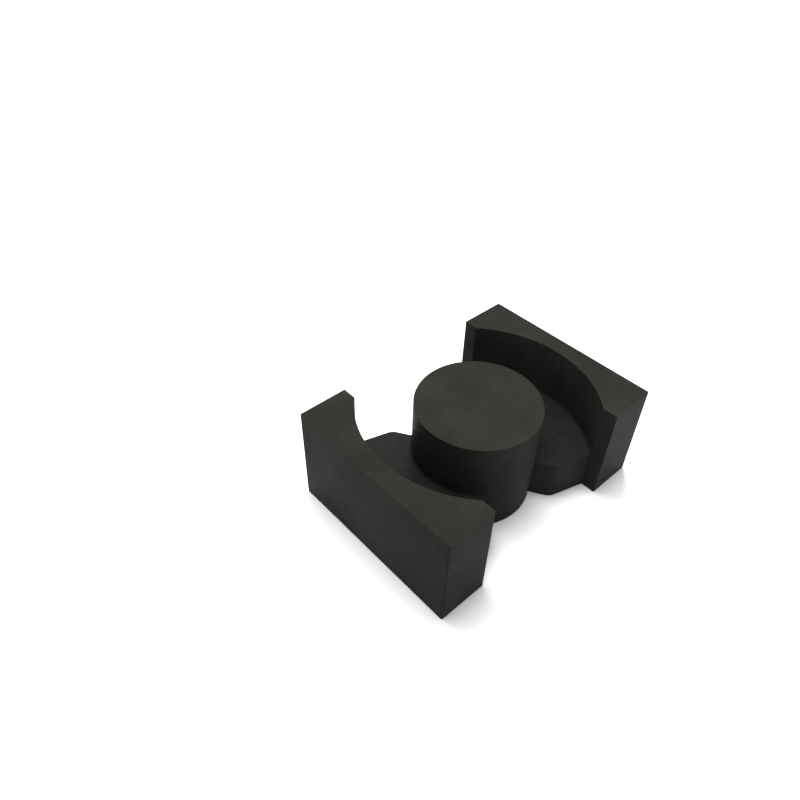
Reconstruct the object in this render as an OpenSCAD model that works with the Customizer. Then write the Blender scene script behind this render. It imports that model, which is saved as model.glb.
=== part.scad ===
// One half of a PQ ferrite core for a switching transformer or choke.
// A round centre post and two outer legs stand on a back plate. The half is pressed from
// powder and fired as one piece, and its three mating faces are ground level.
// X runs from leg to leg, Y along the width of the legs, Z from the back to the mating faces.

/* [Overall] */
// Length across both legs
core_length = 26.5; // [25:0.1:30]
// Width of the legs
core_width = 19; // [18.2:0.1:24]
// Height from the back to the mating faces
core_height = 10.5; // [7:0.1:16]

/* [Centre post] */
// Diameter of the centre post
post_diameter = 12; // [8:0.1:13.4]

/* [Legs] */
// Diameter of the round wall inside the legs
window_diameter = 22.8; // [20.5:0.1:24.4]
// Gap between the flat tips of the two legs
tip_gap = 16.2; // [14.4:0.1:18.6]
// Radius of the upright corners at the leg tips
tip_radius = 0.1; // [0.1:0.05:0.5]

/* [Back plate] */
// Thickness of the back plate
back_thickness = 4.4; // [2.5:0.1:6]
// Step along the tip's flat from the end of the round wall in to the edge of the plate
plate_inset = 0.2; // [0.1:0.05:0.4]
// Step from the post's wall out to the shoulder of the plate
shoulder_step = 2.2; // [1.4:0.1:2.6]
// Radius of the shoulder's corner
shoulder_radius = 1.2; // [0.3:0.1:1.6]
// Angle of the post's wall that each wire exit lays bare
exit_angle = 64; // [50:1:80]
// Radius where the plate meets the post and the legs' round walls
floor_radius = 0.4; // [0.1:0.05:0.8]

/* [Edges] */
// Radius of the legs' upright outer corners
corner_radius = 0.2; // [0.1:0.05:1]
// Chamfer round the foot of the legs, left by the press tool
foot_chamfer = 0.2; // [0.1:0.05:0.6]

/* [Hidden] */

$fn = 96;
ferrite_grey = [0.22, 0.22, 0.21];
// Extra length that carries a cutter clear of the faces it opens
overrun = 2;
// Size of the waste at a rounded corner against the corner itself, so that it overlaps the open side
waste_reach = 1.25;

post_r = post_diameter / 2;
window_r = window_diameter / 2;
tip_x = tip_gap / 2;
// The round wall ends where it meets the flat of the tip
wall_end = [tip_x, sqrt(window_r * window_r - tip_x * tip_x)];
plate_end = wall_end - [0, plate_inset];
// The exit's side runs straight out from the post's axis, so the shoulder lies on that ray
exit_ray = [sin(exit_angle / 2), cos(exit_angle / 2)];
shoulder = (post_r + shoulder_step) * exit_ray;

function unit(v) = v / norm(v);
function flip_x(p) = [-p[0], p[1]];

// Copies the children to both ends of the X axis, or of the Y axis
module both_x() {
  children();
  mirror([1, 0, 0]) children();
}

module both_y() {
  children();
  mirror([0, 1, 0]) children();
}

// Area outside the round of radius r that replaces a convex corner, reaching past the corner's edges.
// The two edges leave the corner towards the points a and b.
module corner_waste(corner, a, b, r) {
  to_a = unit(a - corner);
  to_b = unit(b - corner);
  half_angle = acos(to_a * to_b) / 2;
  reach = r / tan(half_angle);
  centre = corner + unit(to_a + to_b) * r / sin(half_angle);
  kite = [corner + to_a * reach, corner, corner + to_b * reach];
  translate(centre) difference() {
    polygon([[0, 0], for (point = kite) waste_reach * (point - centre)]);
    circle(r);
  }
}

// Section of the block with a chamfer along both of its lower edges
module chamfered_section(span) {
  half = span / 2;
  polygon([
    [-half + foot_chamfer, 0], [half - foot_chamfer, 0], [half, foot_chamfer],
    [half, core_height], [-half, core_height], [-half, foot_chamfer]
  ]);
}

// Plan of the legs and plate before the window and the exits are opened
module block_plan() {
  end = [core_length / 2, core_width / 2];
  difference() {
    square([core_length, core_width], center = true);
    both_x() both_y() corner_waste(end, [0, end[1]], [end[0], 0], corner_radius);
  }
}

// Outer block with round upright corners and a chamfered foot
module block() {
  intersection() {
    linear_extrude(core_height) block_plan();
    rotate([90, 0, 0]) linear_extrude(core_width, center = true) chamfered_section(core_length);
    rotate([90, 0, 90]) linear_extrude(core_length, center = true) chamfered_section(core_width);
  }
}

// Section of the winding window beside the post's axis, with rounded corners at the floor
module window_section() {
  inner = [post_r, back_thickness];
  outer = [window_r, back_thickness];
  rise = [0, core_height];
  difference() {
    translate(inner) square(outer - inner + rise);
    corner_waste(inner, inner + rise, outer, floor_radius);
    corner_waste(outer, outer + rise, inner, floor_radius);
  }
}

// Plan of one wire exit: along the tips' flats, in to the plate's shoulders and then in to the post
module exit_plan() {
  tip_end = [tip_x, core_width / 2];
  mouth = tip_end + [0, overrun];
  throat = post_r / 2 * exit_ray;
  side = [mouth, plate_end, shoulder, throat];
  difference() {
    union() {
      polygon([each side, for (i = [len(side) - 1:-1:0]) flip_x(side[i])]);
      both_x() corner_waste(tip_end, plate_end, [core_length / 2, tip_end[1]], tip_radius);
      both_x() corner_waste(shoulder, plate_end, throat, shoulder_radius);
    }
    circle(post_r);
  }
}

module core_half() {
  color(ferrite_grey)
    difference() {
      block();
      rotate_extrude() window_section();
      both_y() translate([0, 0, -overrun]) linear_extrude(core_height + 2 * overrun) exit_plan();
    }
}

core_half();
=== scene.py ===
"""One half of a PQ ferrite core on a white studio floor.

The half is pressed from powder and fired as one piece: a round centre post and two legs on a back
plate. Its three mating faces are ground level. Sizes are in millimetres and the mesh is drawn in
millimetres too; it is brought to metres once it is finished. X runs from leg to leg, Y along the
width of the legs, Z from the back plate up to the mating faces.
"""

import logging
import math
from dataclasses import dataclass
from enum import Enum
from typing import Any

import bmesh
import bpy
from mathutils import Matrix, Vector

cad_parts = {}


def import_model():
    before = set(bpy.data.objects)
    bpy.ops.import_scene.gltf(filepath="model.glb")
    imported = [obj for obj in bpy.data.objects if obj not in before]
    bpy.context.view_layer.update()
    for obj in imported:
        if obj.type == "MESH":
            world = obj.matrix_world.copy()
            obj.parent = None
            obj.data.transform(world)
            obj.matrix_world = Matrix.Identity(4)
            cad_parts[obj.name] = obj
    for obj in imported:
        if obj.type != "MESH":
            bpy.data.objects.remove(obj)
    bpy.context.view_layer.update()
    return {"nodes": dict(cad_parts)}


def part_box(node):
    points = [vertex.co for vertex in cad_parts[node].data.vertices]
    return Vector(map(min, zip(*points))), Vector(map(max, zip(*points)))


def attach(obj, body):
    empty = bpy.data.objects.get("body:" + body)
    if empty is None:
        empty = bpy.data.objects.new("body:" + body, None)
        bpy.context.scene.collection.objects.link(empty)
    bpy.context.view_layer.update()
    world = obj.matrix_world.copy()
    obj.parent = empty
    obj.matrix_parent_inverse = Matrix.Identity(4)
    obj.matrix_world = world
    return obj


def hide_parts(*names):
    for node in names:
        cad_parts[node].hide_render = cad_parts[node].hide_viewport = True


LOG = logging.getLogger("core_half")

MM = 0.001
NODE = "core_half"
# Two points nearer than this are one, in millimetres
NEAR = 1e-3
# An edge shorter than this is too short to carry a round, in millimetres
SLIVER = 0.04
# Neighbouring faces that turn by less than this are one flat face, in degrees
FLAT_ANGLE = 0.1
# Face attribute that is 1 on the mating edges' rounds, which are painted paler for rubbed wear and
# as a painted highlight, and 0 elsewhere
WEAR_AND_HIGHLIGHT = "wear_and_highlight"
WHITE = "#ffffff"
UP = Vector((0.0, 0.0, 1.0))
# The picture's side in pixels, and the width of the camera's sensor in millimetres
IMAGE_SIDE = 800
SENSOR_WIDTH = 36.0


def linear(colour: str) -> tuple[float, float, float, float]:
    """Turns an sRGB hex colour into the linear values that shaders take.

    Args:
        colour: Six hex digits after a hash sign.

    Returns:
        Linear red, green and blue, with an alpha of 1.
    """
    shares = [int(colour[i : i + 2], 16) / 255 for i in (1, 3, 5)]
    red, green, blue = (s / 12.92 if s <= 0.04045 else ((s + 0.055) / 1.055) ** 2.4 for s in shares)
    return red, green, blue, 1.0


def add_node(
    tree: bpy.types.NodeTree,
    kind: str,
    settings: dict[str, Any] | None = None,
    inputs: dict[str | int, Any] | None = None,
) -> bpy.types.Node:
    """Adds one node to a tree and fills in its sockets.

    Args:
        tree: The node tree that gets the node.
        kind: The node's type name.
        settings: Properties of the node itself.
        inputs: A value, or another node's output, for each socket named or numbered.

    Returns:
        The new node.
    """
    node = tree.nodes.new(kind)
    for name, value in (settings or {}).items():
        setattr(node, name, value)
    for name, value in (inputs or {}).items():
        if isinstance(value, bpy.types.NodeSocket):
            tree.links.new(value, node.inputs[name])
        else:
            node.inputs[name].default_value = value
    return node


class Skin(Enum):
    """The surfaces of the piece, each with the number of its material slot."""

    FIRED = 0
    GROUND = 1


@dataclass(frozen=True)
class Ferrite:
    """Sintered manganese zinc ferrite: a dense, dull, charcoal ceramic.

    The powder is dried into granules before it is pressed, and they stay visible as a faint
    mottle. Firing leaves slow clouds of tone. Grinding lays fine straight lines over both. The
    mating edges are painted paler, partly for handling wear and partly as a painted highlight.
    """

    name: str
    dark: str
    pale: str
    roughness: tuple[float, float]
    # Far below a polished ferrite's, because the skin is porous
    specular: float
    # Paler colour on the mating edges' rounds: rubbed wear plus a painted highlight
    rubbed_and_highlight: str = "#4c4c48"
    # Granules are 0.1 to 0.2 mm across; drawn at 0.25 mm, because finer ones don't show
    granule_mm: float = 0.25
    granule_depth_mm: float = 0.012
    cloud_mm: float = 5.0
    # The granules' share in the mottle; the clouds have the rest
    granule_share: float = 0.4
    # Grinding lines lie about 0.02 mm apart; drawn at 0.3 mm, because finer ones don't show
    line_mm: float = 0.3
    # How many times longer than wide a grinding line is
    line_stretch: float = 50.0
    # No depth, no lines
    line_depth_mm: float = 0.0
    # Noise seldom leaves these bounds, so they are spread over the whole of a range
    mottle_bounds: tuple[float, float] = (0.32, 0.68)
    granule_bounds: tuple[float, float] = (0.3, 0.7)

    def material(self) -> bpy.types.Material:
        """Makes the node material for this surface.

        Returns:
            The new material.
        """
        material = bpy.data.materials.new(self.name)
        material.use_nodes = True
        tree = material.node_tree
        tree.nodes.clear()
        place = add_node(tree, "ShaderNodeTexCoord").outputs["Object"]
        granules = add_node(
            tree,
            "ShaderNodeTexNoise",
            inputs={
                "Vector": place,
                "Scale": 1 / (self.granule_mm * MM),
                "Detail": 2.0,
                "Roughness": 0.6,
            },
        ).outputs["Fac"]
        sheen = add_node(
            tree,
            "ShaderNodeMapRange",
            inputs={
                "Value": granules,
                "From Min": self.granule_bounds[0],
                "From Max": self.granule_bounds[1],
                "To Min": self.roughness[0],
                "To Max": self.roughness[1],
            },
        ).outputs["Result"]
        shader = add_node(
            tree,
            "ShaderNodeBsdfPrincipled",
            inputs={
                "Base Color": self._colour(tree, place, granules),
                "Roughness": sheen,
                "Specular IOR Level": self.specular,
                "Normal": self._relief(tree, place, granules),
            },
        )
        add_node(tree, "ShaderNodeOutputMaterial", inputs={"Surface": shader.outputs["BSDF"]})
        return material

    def _colour(
        self, tree: bpy.types.NodeTree, place: bpy.types.NodeSocket, granules: bpy.types.NodeSocket
    ) -> bpy.types.NodeSocket:
        """Adds the mottled colour, paler on the mating edges for rubbed wear and as a painted
        highlight.

        Args:
            tree: The material's node tree.
            place: The point on the piece.
            granules: The granules' noise.

        Returns:
            The socket that holds the colour.
        """
        clouds = add_node(
            tree,
            "ShaderNodeTexNoise",
            inputs={
                "Vector": place,
                "Scale": 1 / (self.cloud_mm * MM),
                "Detail": 3.0,
                "Roughness": 0.55,
            },
        ).outputs["Fac"]
        mottle = add_node(
            tree, "ShaderNodeMix", inputs={"Factor": self.granule_share, "A": clouds, "B": granules}
        ).outputs["Result"]
        tone = add_node(
            tree,
            "ShaderNodeMapRange",
            inputs={
                "Value": mottle,
                "From Min": self.mottle_bounds[0],
                "From Max": self.mottle_bounds[1],
            },
        ).outputs["Result"]
        # A colour mix takes its two colours at sockets 6 and 7 and gives its result at socket 2
        body = add_node(
            tree,
            "ShaderNodeMix",
            {"data_type": "RGBA"},
            {"Factor": tone, 6: linear(self.dark), 7: linear(self.pale)},
        ).outputs[2]
        # Painted highlight, together with rubbed wear, on the rounds of the mating edges
        wear_and_highlight = add_node(tree, "ShaderNodeAttribute", {"attribute_name": WEAR_AND_HIGHLIGHT}).outputs["Fac"]
        rubbing_and_highlight = add_node(
            tree, "ShaderNodeMath", {"operation": "MULTIPLY"}, {0: wear_and_highlight, 1: tone}
        ).outputs["Value"]
        return add_node(
            tree,
            "ShaderNodeMix",
            {"data_type": "RGBA"},
            {"Factor": rubbing_and_highlight, 6: body, 7: linear(self.rubbed_and_highlight)},
        ).outputs[2]

    def _relief(
        self, tree: bpy.types.NodeTree, place: bpy.types.NodeSocket, granules: bpy.types.NodeSocket
    ) -> bpy.types.NodeSocket:
        """Adds the granules' bumps and, on a ground face, the lines of the grinding wheel.

        Args:
            tree: The material's node tree.
            place: The point on the piece.
            granules: The granules' noise.

        Returns:
            The socket that holds the normal.
        """
        bumps = add_node(
            tree,
            "ShaderNodeBump",
            inputs={"Distance": self.granule_depth_mm * MM, "Height": granules},
        ).outputs["Normal"]
        if not self.line_depth_mm:
            return bumps
        drawn_out = add_node(
            tree,
            "ShaderNodeMapping",
            inputs={"Vector": place, "Scale": (1 / self.line_stretch, 1.0, 1.0)},
        ).outputs["Vector"]
        lines = add_node(
            tree,
            "ShaderNodeTexNoise",
            inputs={"Vector": drawn_out, "Scale": 1 / (self.line_mm * MM), "Detail": 2.0},
        ).outputs["Fac"]
        return add_node(
            tree,
            "ShaderNodeBump",
            inputs={"Distance": self.line_depth_mm * MM, "Height": lines, "Normal": bumps},
        ).outputs["Normal"]


# As fired: a neutral charcoal that the tools left smooth, so its walls mirror the pale floor softly
FIRED_FERRITE = Ferrite("Fired ferrite", "#2b2a28", "#3e3d3b", (0.44, 0.58), specular=0.016)
# As ground: the same body cut open, a little greener and duller, with the fine lines of the wheel
GROUND_FERRITE = Ferrite(
    "Ground ferrite", "#31322d", "#42433d", (0.52, 0.68), specular=0.008, line_depth_mm=0.004
)


@dataclass
class CoreHalf:
    """The core half: a centre post and two legs on a back plate with two wire exits."""

    length: float
    width: float
    height: float
    post_radius: float = 6.0
    window_radius: float = 11.4
    tip_gap: float = 16.2
    tip_radius: float = 0.1
    back_thickness: float = 4.4
    shoulder_step: float = 2.2
    shoulder_radius: float = 1.2
    exit_angle: float = 64.0
    floor_radius: float = 0.4
    corner_radius: float = 0.2
    # Edges broken by the press tool and by grinding, less than the tip's radius to fit there
    foot_break: float = 0.07
    mating_break: float = 0.05
    # Facets of each round
    floor_facets: int = 6
    corner_facets: int = 5
    tip_facets: int = 4
    shoulder_facets: int = 6
    foot_facets: int = 3
    mating_facets: int = 2
    # One step of a wall that is spun about the post's axis, in degrees
    step_angle: float = 1.5
    # Neighbouring faces that turn by more than this meet in a sharp edge, in degrees
    crease_angle: float = 40.0

    @classmethod
    def from_frame(cls) -> "CoreHalf":
        """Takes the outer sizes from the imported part's box."""
        low, high = (Vector(corner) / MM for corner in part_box(NODE))
        return cls(*(high - low))

    @property
    def end_corner(self) -> Vector:
        """Outer corner of the leg, in the quarter where X and Y are positive, as are all points."""
        return Vector((self.length / 2, self.width / 2, 0.0))

    @property
    def tip_corner(self) -> Vector:
        """Corner between the leg's end and the flat of its tip."""
        return Vector((self.tip_gap / 2, self.width / 2, 0.0))

    @property
    def wall_end(self) -> Vector:
        """Point where the round wall meets the flat of the leg's tip."""
        tip = self.tip_gap / 2
        return Vector((tip, math.sqrt(self.window_radius**2 - tip**2), 0.0))

    @property
    def shoulder(self) -> Vector:
        """Corner of the plate beside the exit."""
        return self._on_exit_ray(self.post_radius + self.shoulder_step)

    @property
    def post_foot(self) -> Vector:
        """Point where the exit's side meets the post."""
        return self._on_exit_ray(self.post_radius)

    def _on_exit_ray(self, radius: float) -> Vector:
        """Gives the point on the exit's side at a distance from the post's axis."""
        half = math.radians(self.exit_angle / 2)
        return Vector((math.sin(half), math.cos(half), 0.0)) * radius

    def build(self) -> bpy.types.Object:
        """Draws one quarter, mirrors it into the whole half, closes it and breaks its edges.

        Returns:
            The finished object, in metres.
        """
        bm = bmesh.new()
        self._sweep_window(bm)
        self._open_exit(bm)
        self._wrap_leg(bm)
        self._close(bm)
        self._round_corners(bm)
        self._break_edges(bm)
        self._sort_skins(bm)
        bmesh.ops.scale(bm, vec=(MM, MM, MM), verts=bm.verts)
        mesh = bpy.data.meshes.new("ferrite_half")
        bm.to_mesh(mesh)
        bm.free()
        piece = bpy.data.objects.new("ferrite_half", mesh)
        bpy.context.collection.objects.link(piece)
        return piece

    def dress(self, piece: bpy.types.Object) -> None:
        """Gives the piece its skins and its place in the frame.

        Args:
            piece: The object that build returned.
        """
        finishes = {Skin.FIRED: FIRED_FERRITE, Skin.GROUND: GROUND_FERRITE}
        for skin in Skin:
            piece.data.materials.append(finishes[skin].material())
        level = piece.modifiers.new("Level flats", "WEIGHTED_NORMAL")
        level.keep_sharp = True
        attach(piece, "root")
        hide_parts(NODE)

    def _sweep_window(self, bm: bmesh.types.BMesh) -> None:
        """Spins the window's section from the leg's middle round to the exit's side.

        Args:
            bm: The mesh that gets the post's wall, the floor and the leg's round wall.
        """
        section = (
            (self.post_radius, self.height),
            (self.post_radius, self.back_thickness),
            (self.window_radius, self.back_thickness),
            (self.window_radius, self.height),
        )
        points = [bm.verts.new((x, 0.0, z)) for x, z in section]
        for start, end in zip(points, points[1:]):
            bm.edges.new((start, end))
        bmesh.ops.bevel(
            bm,
            geom=points[1:3],
            offset=self.floor_radius,
            offset_type="OFFSET",
            segments=self.floor_facets,
            profile=0.5,
            affect="VERTICES",
            material=-1,
        )
        self._spin(bm, bm.edges[:], 90.0 - self.exit_angle / 2)

    def _open_exit(self, bm: bmesh.types.BMesh) -> None:
        """Cuts the floor back to the plate's edge, drops the plate's walls and bares the post.

        Args:
            bm: The mesh with the swept window.
        """
        cut = bmesh.ops.bisect_plane(
            bm,
            geom=bm.verts[:] + bm.edges[:] + bm.faces[:],
            dist=NEAR,
            plane_co=self.shoulder,
            plane_no=UP.cross(self.wall_end - self.shoulder),
            clear_outer=True,
        )["geom_cut"]
        # The last step of a round ends just short of the cut, so its points join the cut's own
        ends = [part for part in cut if isinstance(part, bmesh.types.BMVert)]
        short = bmesh.ops.find_doubles(bm, verts=bm.verts, keep_verts=ends, dist=SLIVER)
        bmesh.ops.weld_verts(bm, targetmap=short["targetmap"])
        lip = self.back_thickness + self.floor_radius + NEAR
        rim = [
            edge
            for edge in bm.edges
            if edge.is_boundary
            and all(v.co.z < lip for v in edge.verts)
            and any(v.co.y > NEAR for v in edge.verts)
        ]
        fresh = self._extrude(bm, rim)
        bmesh.ops.scale(bm, vec=(1.0, 1.0, 0.0), verts=fresh)
        self._spin(bm, self._upright(bm, self.post_foot), self.exit_angle / 2)

    def _wrap_leg(self, bm: bmesh.types.BMesh) -> None:
        """Draws the leg's outside: along the tip's flat, the end and the outer face.

        Args:
            bm: The mesh with the opened exit.
        """
        outer_middle = Vector((self.length / 2, 0.0, 0.0))
        corner = self.wall_end
        for turn in (self.tip_corner, self.end_corner, outer_middle):
            fresh = self._extrude(bm, self._upright(bm, corner))
            bmesh.ops.translate(bm, vec=turn - corner, verts=fresh)
            corner = turn

    def _close(self, bm: bmesh.types.BMesh) -> None:
        """Mirrors the quarter both ways and fills the back and the three mating faces.

        Args:
            bm: The mesh of one quarter.
        """
        for axis in ("Y", "X"):
            bmesh.ops.mirror(
                bm,
                geom=bm.verts[:] + bm.edges[:] + bm.faces[:],
                matrix=Matrix.Identity(4),
                merge_dist=NEAR,
                axis=axis,
            )
        bmesh.ops.remove_doubles(bm, verts=bm.verts, dist=NEAR)
        bmesh.ops.edgeloop_fill(bm, edges=[edge for edge in bm.edges if edge.is_boundary])
        bmesh.ops.dissolve_limit(
            bm, angle_limit=math.radians(FLAT_ANGLE), verts=bm.verts[:], edges=bm.edges[:]
        )
        bmesh.ops.recalc_face_normals(bm, faces=bm.faces)

    def _round_corners(self, bm: bmesh.types.BMesh) -> None:
        """Rounds the upright corners of the legs, their tips and the plate's shoulders.

        Args:
            bm: The closed mesh.
        """
        shoulder_angle = (self.wall_end - self.shoulder).angle(-self.shoulder)
        shoulder_reach = self.shoulder_radius / math.tan(shoulder_angle / 2)
        for corner, reach, facets in (
            (self.end_corner, self.corner_radius, self.corner_facets),
            (self.tip_corner, self.tip_radius, self.tip_facets),
            (self.shoulder, shoulder_reach, self.shoulder_facets),
        ):
            uprights = [
                edge
                for sx in (1, -1)
                for sy in (1, -1)
                for edge in self._upright(bm, Vector((sx * corner.x, sy * corner.y, 0.0)))
            ]
            self._bevel(bm, uprights, reach, facets)

    def _break_edges(self, bm: bmesh.types.BMesh) -> None:
        """Breaks the edges of the foot and of the mating faces, and marks the latter for paler
        paint: rubbed wear and a painted highlight.

        Args:
            bm: The mesh with its upright corners rounded.
        """
        wear_and_highlight = bm.faces.layers.float.new(WEAR_AND_HIGHLIGHT)
        self._bevel(bm, self._sharp_at(bm, 0.0), self.foot_break, self.foot_facets)
        mating = self._sharp_at(bm, self.height)
        # The mating rounds get the pale paint of rubbed wear and a painted highlight
        for face in self._bevel(bm, mating, self.mating_break, self.mating_facets):
            face[wear_and_highlight] = 1.0

    def _sort_skins(self, bm: bmesh.types.BMesh) -> None:
        """Gives each face its skin and marks the sharp edges and the smooth rounds.

        Args:
            bm: The finished mesh.
        """
        bmesh.ops.recalc_face_normals(bm, faces=bm.faces)
        for face in bm.faces:
            ground = face.calc_center_median().z > self.height - NEAR
            face.material_index = (Skin.GROUND if ground else Skin.FIRED).value
            face.smooth = True
        for edge in bm.edges:
            edge.smooth = edge.calc_face_angle(math.pi) < math.radians(self.crease_angle)

    def _spin(
        self, bm: bmesh.types.BMesh, edges: list[bmesh.types.BMEdge], degrees: float
    ) -> None:
        """Spins edges about the post's axis.

        Args:
            bm: The mesh that holds the edges.
            edges: The edges that sweep the surface.
            degrees: How far they turn.
        """
        points = dict.fromkeys(v for edge in edges for v in edge.verts)
        bmesh.ops.spin(
            bm,
            geom=[*points, *edges],
            cent=(0.0, 0.0, 0.0),
            axis=UP,
            angle=math.radians(degrees),
            steps=round(degrees / self.step_angle),
            use_merge=False,
        )

    def _sharp_at(self, bm: bmesh.types.BMesh, z: float) -> list[bmesh.types.BMEdge]:
        """Finds the sharp outer edges at a height.

        Args:
            bm: The mesh to look through.
            z: The height.

        Returns:
            The edges that lie there.
        """
        return [
            edge
            for edge in bm.edges
            if all(abs(v.co.z - z) < NEAR for v in edge.verts)
            and edge.calc_face_angle_signed(0.0) > math.radians(self.crease_angle)
        ]

    @staticmethod
    def _upright(bm: bmesh.types.BMesh, corner: Vector) -> list[bmesh.types.BMEdge]:
        """Finds the upright edges over a point of the plan.

        Args:
            bm: The mesh to look through.
            corner: The point; its height doesn't count.

        Returns:
            The edges that stand there.
        """
        return [
            edge
            for edge in bm.edges
            if all((v.co.xy - corner.xy).length < NEAR for v in edge.verts)
        ]

    @staticmethod
    def _extrude(
        bm: bmesh.types.BMesh, edges: list[bmesh.types.BMEdge]
    ) -> list[bmesh.types.BMVert]:
        """Extrudes edges in place.

        Args:
            bm: The mesh that holds the edges.
            edges: The edges to extrude.

        Returns:
            The new vertices, still where the old ones are.
        """
        made = bmesh.ops.extrude_edge_only(bm, edges=edges)["geom"]
        return [part for part in made if isinstance(part, bmesh.types.BMVert)]

    @staticmethod
    def _bevel(
        bm: bmesh.types.BMesh, edges: list[bmesh.types.BMEdge], reach: float, facets: int
    ) -> list[bmesh.types.BMFace]:
        """Rounds edges.

        Args:
            bm: The mesh that holds the edges.
            edges: The edges to take off.
            reach: Distance from an edge to where the round begins on each side.
            facets: Facets of the round.

        Returns:
            The faces of the round.
        """
        return bmesh.ops.bevel(
            bm,
            geom=edges,
            offset=reach,
            offset_type="OFFSET",
            segments=facets,
            profile=0.5,
            affect="EDGES",
            material=-1,
            clamp_overlap=True,
        )["faces"]


@dataclass(frozen=True)
class Lamp:
    """A square soft lamp that faces the middle of the core, in millimetres."""

    name: str
    place: tuple[float, float, float]
    side: float
    # Light that a white surface facing the lamp sends back, where 1 is white
    level: float

    def hang(self) -> None:
        """Hangs the lamp in the scene."""
        place = Vector(self.place) * MM
        light = bpy.data.lights.new(self.name, "AREA")
        light.size = self.side * MM
        # P watts light a surface at distance d by P / (pi * d**2); white sends back 1 / pi of it
        light.energy = self.level * math.pi**2 * place.length_squared
        hung = bpy.data.objects.new(self.name, light)
        hung.location = place
        hung.rotation_euler = place.to_track_quat("Z", "Y").to_euler()
        bpy.context.collection.objects.link(hung)


# Overhead, a little behind the core
KEY = Lamp("Key", (0.0, 70.0, 394.0), side=160.0, level=0.37)
# Low behind the far corner: it brightens the tops and leaves the walls in front in shade
BACK_LIGHT = Lamp("Back light", (256.0, 256.0, 169.0), side=160.0, level=0.54)


@dataclass
class Studio:
    """White floor, white surroundings and soft light."""

    lamps: tuple[Lamp, ...] = (KEY, BACK_LIGHT)
    # Small enough for the lamps to keep it white up to its rim
    floor_side: float = 560.0
    floor_colour: str = "#ececec"
    sky_strength: float = 0.38

    def build(self) -> None:
        """Makes the floor, the surroundings and the lamps."""
        self._floor()
        self._sky()
        for lamp in self.lamps:
            lamp.hang()

    def _floor(self) -> None:
        """Lays the floor, which keeps the shadow and is white where it is open."""
        bm = bmesh.new()
        bmesh.ops.create_grid(bm, x_segments=1, y_segments=1, size=self.floor_side / 2 * MM)
        mesh = bpy.data.meshes.new("floor")
        bm.to_mesh(mesh)
        bm.free()
        floor = bpy.data.objects.new("floor", mesh)
        bpy.context.collection.objects.link(floor)
        mesh.materials.append(self._paper())

    def _paper(self) -> bpy.types.Material:
        """Makes the floor's paper: dull, near white and without a pattern.

        Returns:
            The new material.
        """
        material = bpy.data.materials.new("White paper")
        material.use_nodes = True
        tree = material.node_tree
        tree.nodes.clear()
        paper = add_node(
            tree, "ShaderNodeBsdfDiffuse", inputs={"Color": linear(self.floor_colour)}
        ).outputs["BSDF"]
        white = add_node(
            tree, "ShaderNodeBsdfDiffuse", inputs={"Color": linear(WHITE)}
        ).outputs["BSDF"]
        # The camera sees white doubled, so that open floor is white and the close shadow stays
        doubled = add_node(
            tree, "ShaderNodeAddShader", inputs={0: white, 1: white}
        ).outputs["Shader"]
        shown = add_node(
            tree, "ShaderNodeMixShader", inputs={0: seen_directly(tree), 1: paper, 2: doubled}
        ).outputs["Shader"]
        add_node(tree, "ShaderNodeOutputMaterial", inputs={"Surface": shown})
        return material

    def _sky(self) -> None:
        """Surrounds the scene with soft white light, full white where the camera sees it."""
        world = bpy.data.worlds.new("White tent")
        bpy.context.scene.world = world
        world.use_nodes = True
        tree = world.node_tree
        tree.nodes.clear()
        strength = add_node(
            tree,
            "ShaderNodeMapRange",
            inputs={"Value": seen_directly(tree), "To Min": self.sky_strength, "To Max": 1.0},
        ).outputs["Result"]
        sky = add_node(
            tree,
            "ShaderNodeBackground",
            inputs={"Color": linear(WHITE), "Strength": strength},
        ).outputs["Background"]
        add_node(tree, "ShaderNodeOutputWorld", inputs={"Surface": sky})


def seen_directly(tree: bpy.types.NodeTree) -> bpy.types.NodeSocket:
    """Adds nodes that are 1 for what the camera sees, straight, in a reflection or through glass.

    Args:
        tree: The node tree that gets the nodes.

    Returns:
        The socket that holds 1 or 0.
    """
    path = add_node(tree, "ShaderNodeLightPath").outputs
    direct = path["Is Camera Ray"]
    for ray in ("Is Glossy Ray", "Is Transmission Ray"):
        direct = add_node(
            tree, "ShaderNodeMath", {"operation": "MAXIMUM"}, {0: direct, 1: path[ray]}
        ).outputs["Value"]
    return direct


@dataclass
class Camera:
    """The camera at the photograph's viewing angle, in degrees and millimetres.

    Azimuth counts from the -Y axis round towards +X, and elevation up from the floor.
    """

    azimuth: float = -42.9776
    elevation: float = 42.7604
    roll: float = 1.4209
    distance: float = 79.5364
    target: tuple[float, float, float] = (2.5473, 13.3122, 0.0)
    focal_pixels: float = 698.144
    nearest: float = 1.0
    farthest: float = 10000.0

    def build(self) -> None:
        """Sets the camera up and makes it the scene's own."""
        lens = bpy.data.cameras.new("Camera")
        lens.sensor_width = SENSOR_WIDTH
        lens.lens = self.focal_pixels / IMAGE_SIDE * SENSOR_WIDTH
        lens.clip_start, lens.clip_end = self.nearest * MM, self.farthest * MM
        camera = bpy.data.objects.new("Camera", lens)
        around, up = math.radians(self.azimuth), math.radians(self.elevation)
        level = Vector((math.sin(around), -math.cos(around), 0.0))
        back = level * math.cos(up) + UP * math.sin(up)
        place = (Vector(self.target) + back * self.distance) * MM
        roll = Matrix.Rotation(math.radians(self.roll), 4, "Z")
        turn = back.to_track_quat("Z", "Y").to_matrix().to_4x4() @ roll
        camera.matrix_world = Matrix.Translation(place) @ turn
        bpy.context.collection.objects.link(camera)
        bpy.context.scene.camera = camera


def main() -> None:
    """Builds the core half, the studio and the camera."""
    logging.basicConfig(level=logging.INFO, format="%(name)s: %(message)s")
    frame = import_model()
    bpy.context.scene.view_settings.view_transform = "Standard"
    LOG.info("frame nodes: %s", ", ".join(frame["nodes"]))
    half = CoreHalf.from_frame()
    piece = half.build()
    half.dress(piece)
    LOG.info("%s: %d faces", piece.name, len(piece.data.polygons))
    Studio().build()
    Camera().build()


if __name__ == "__main__":
    main()
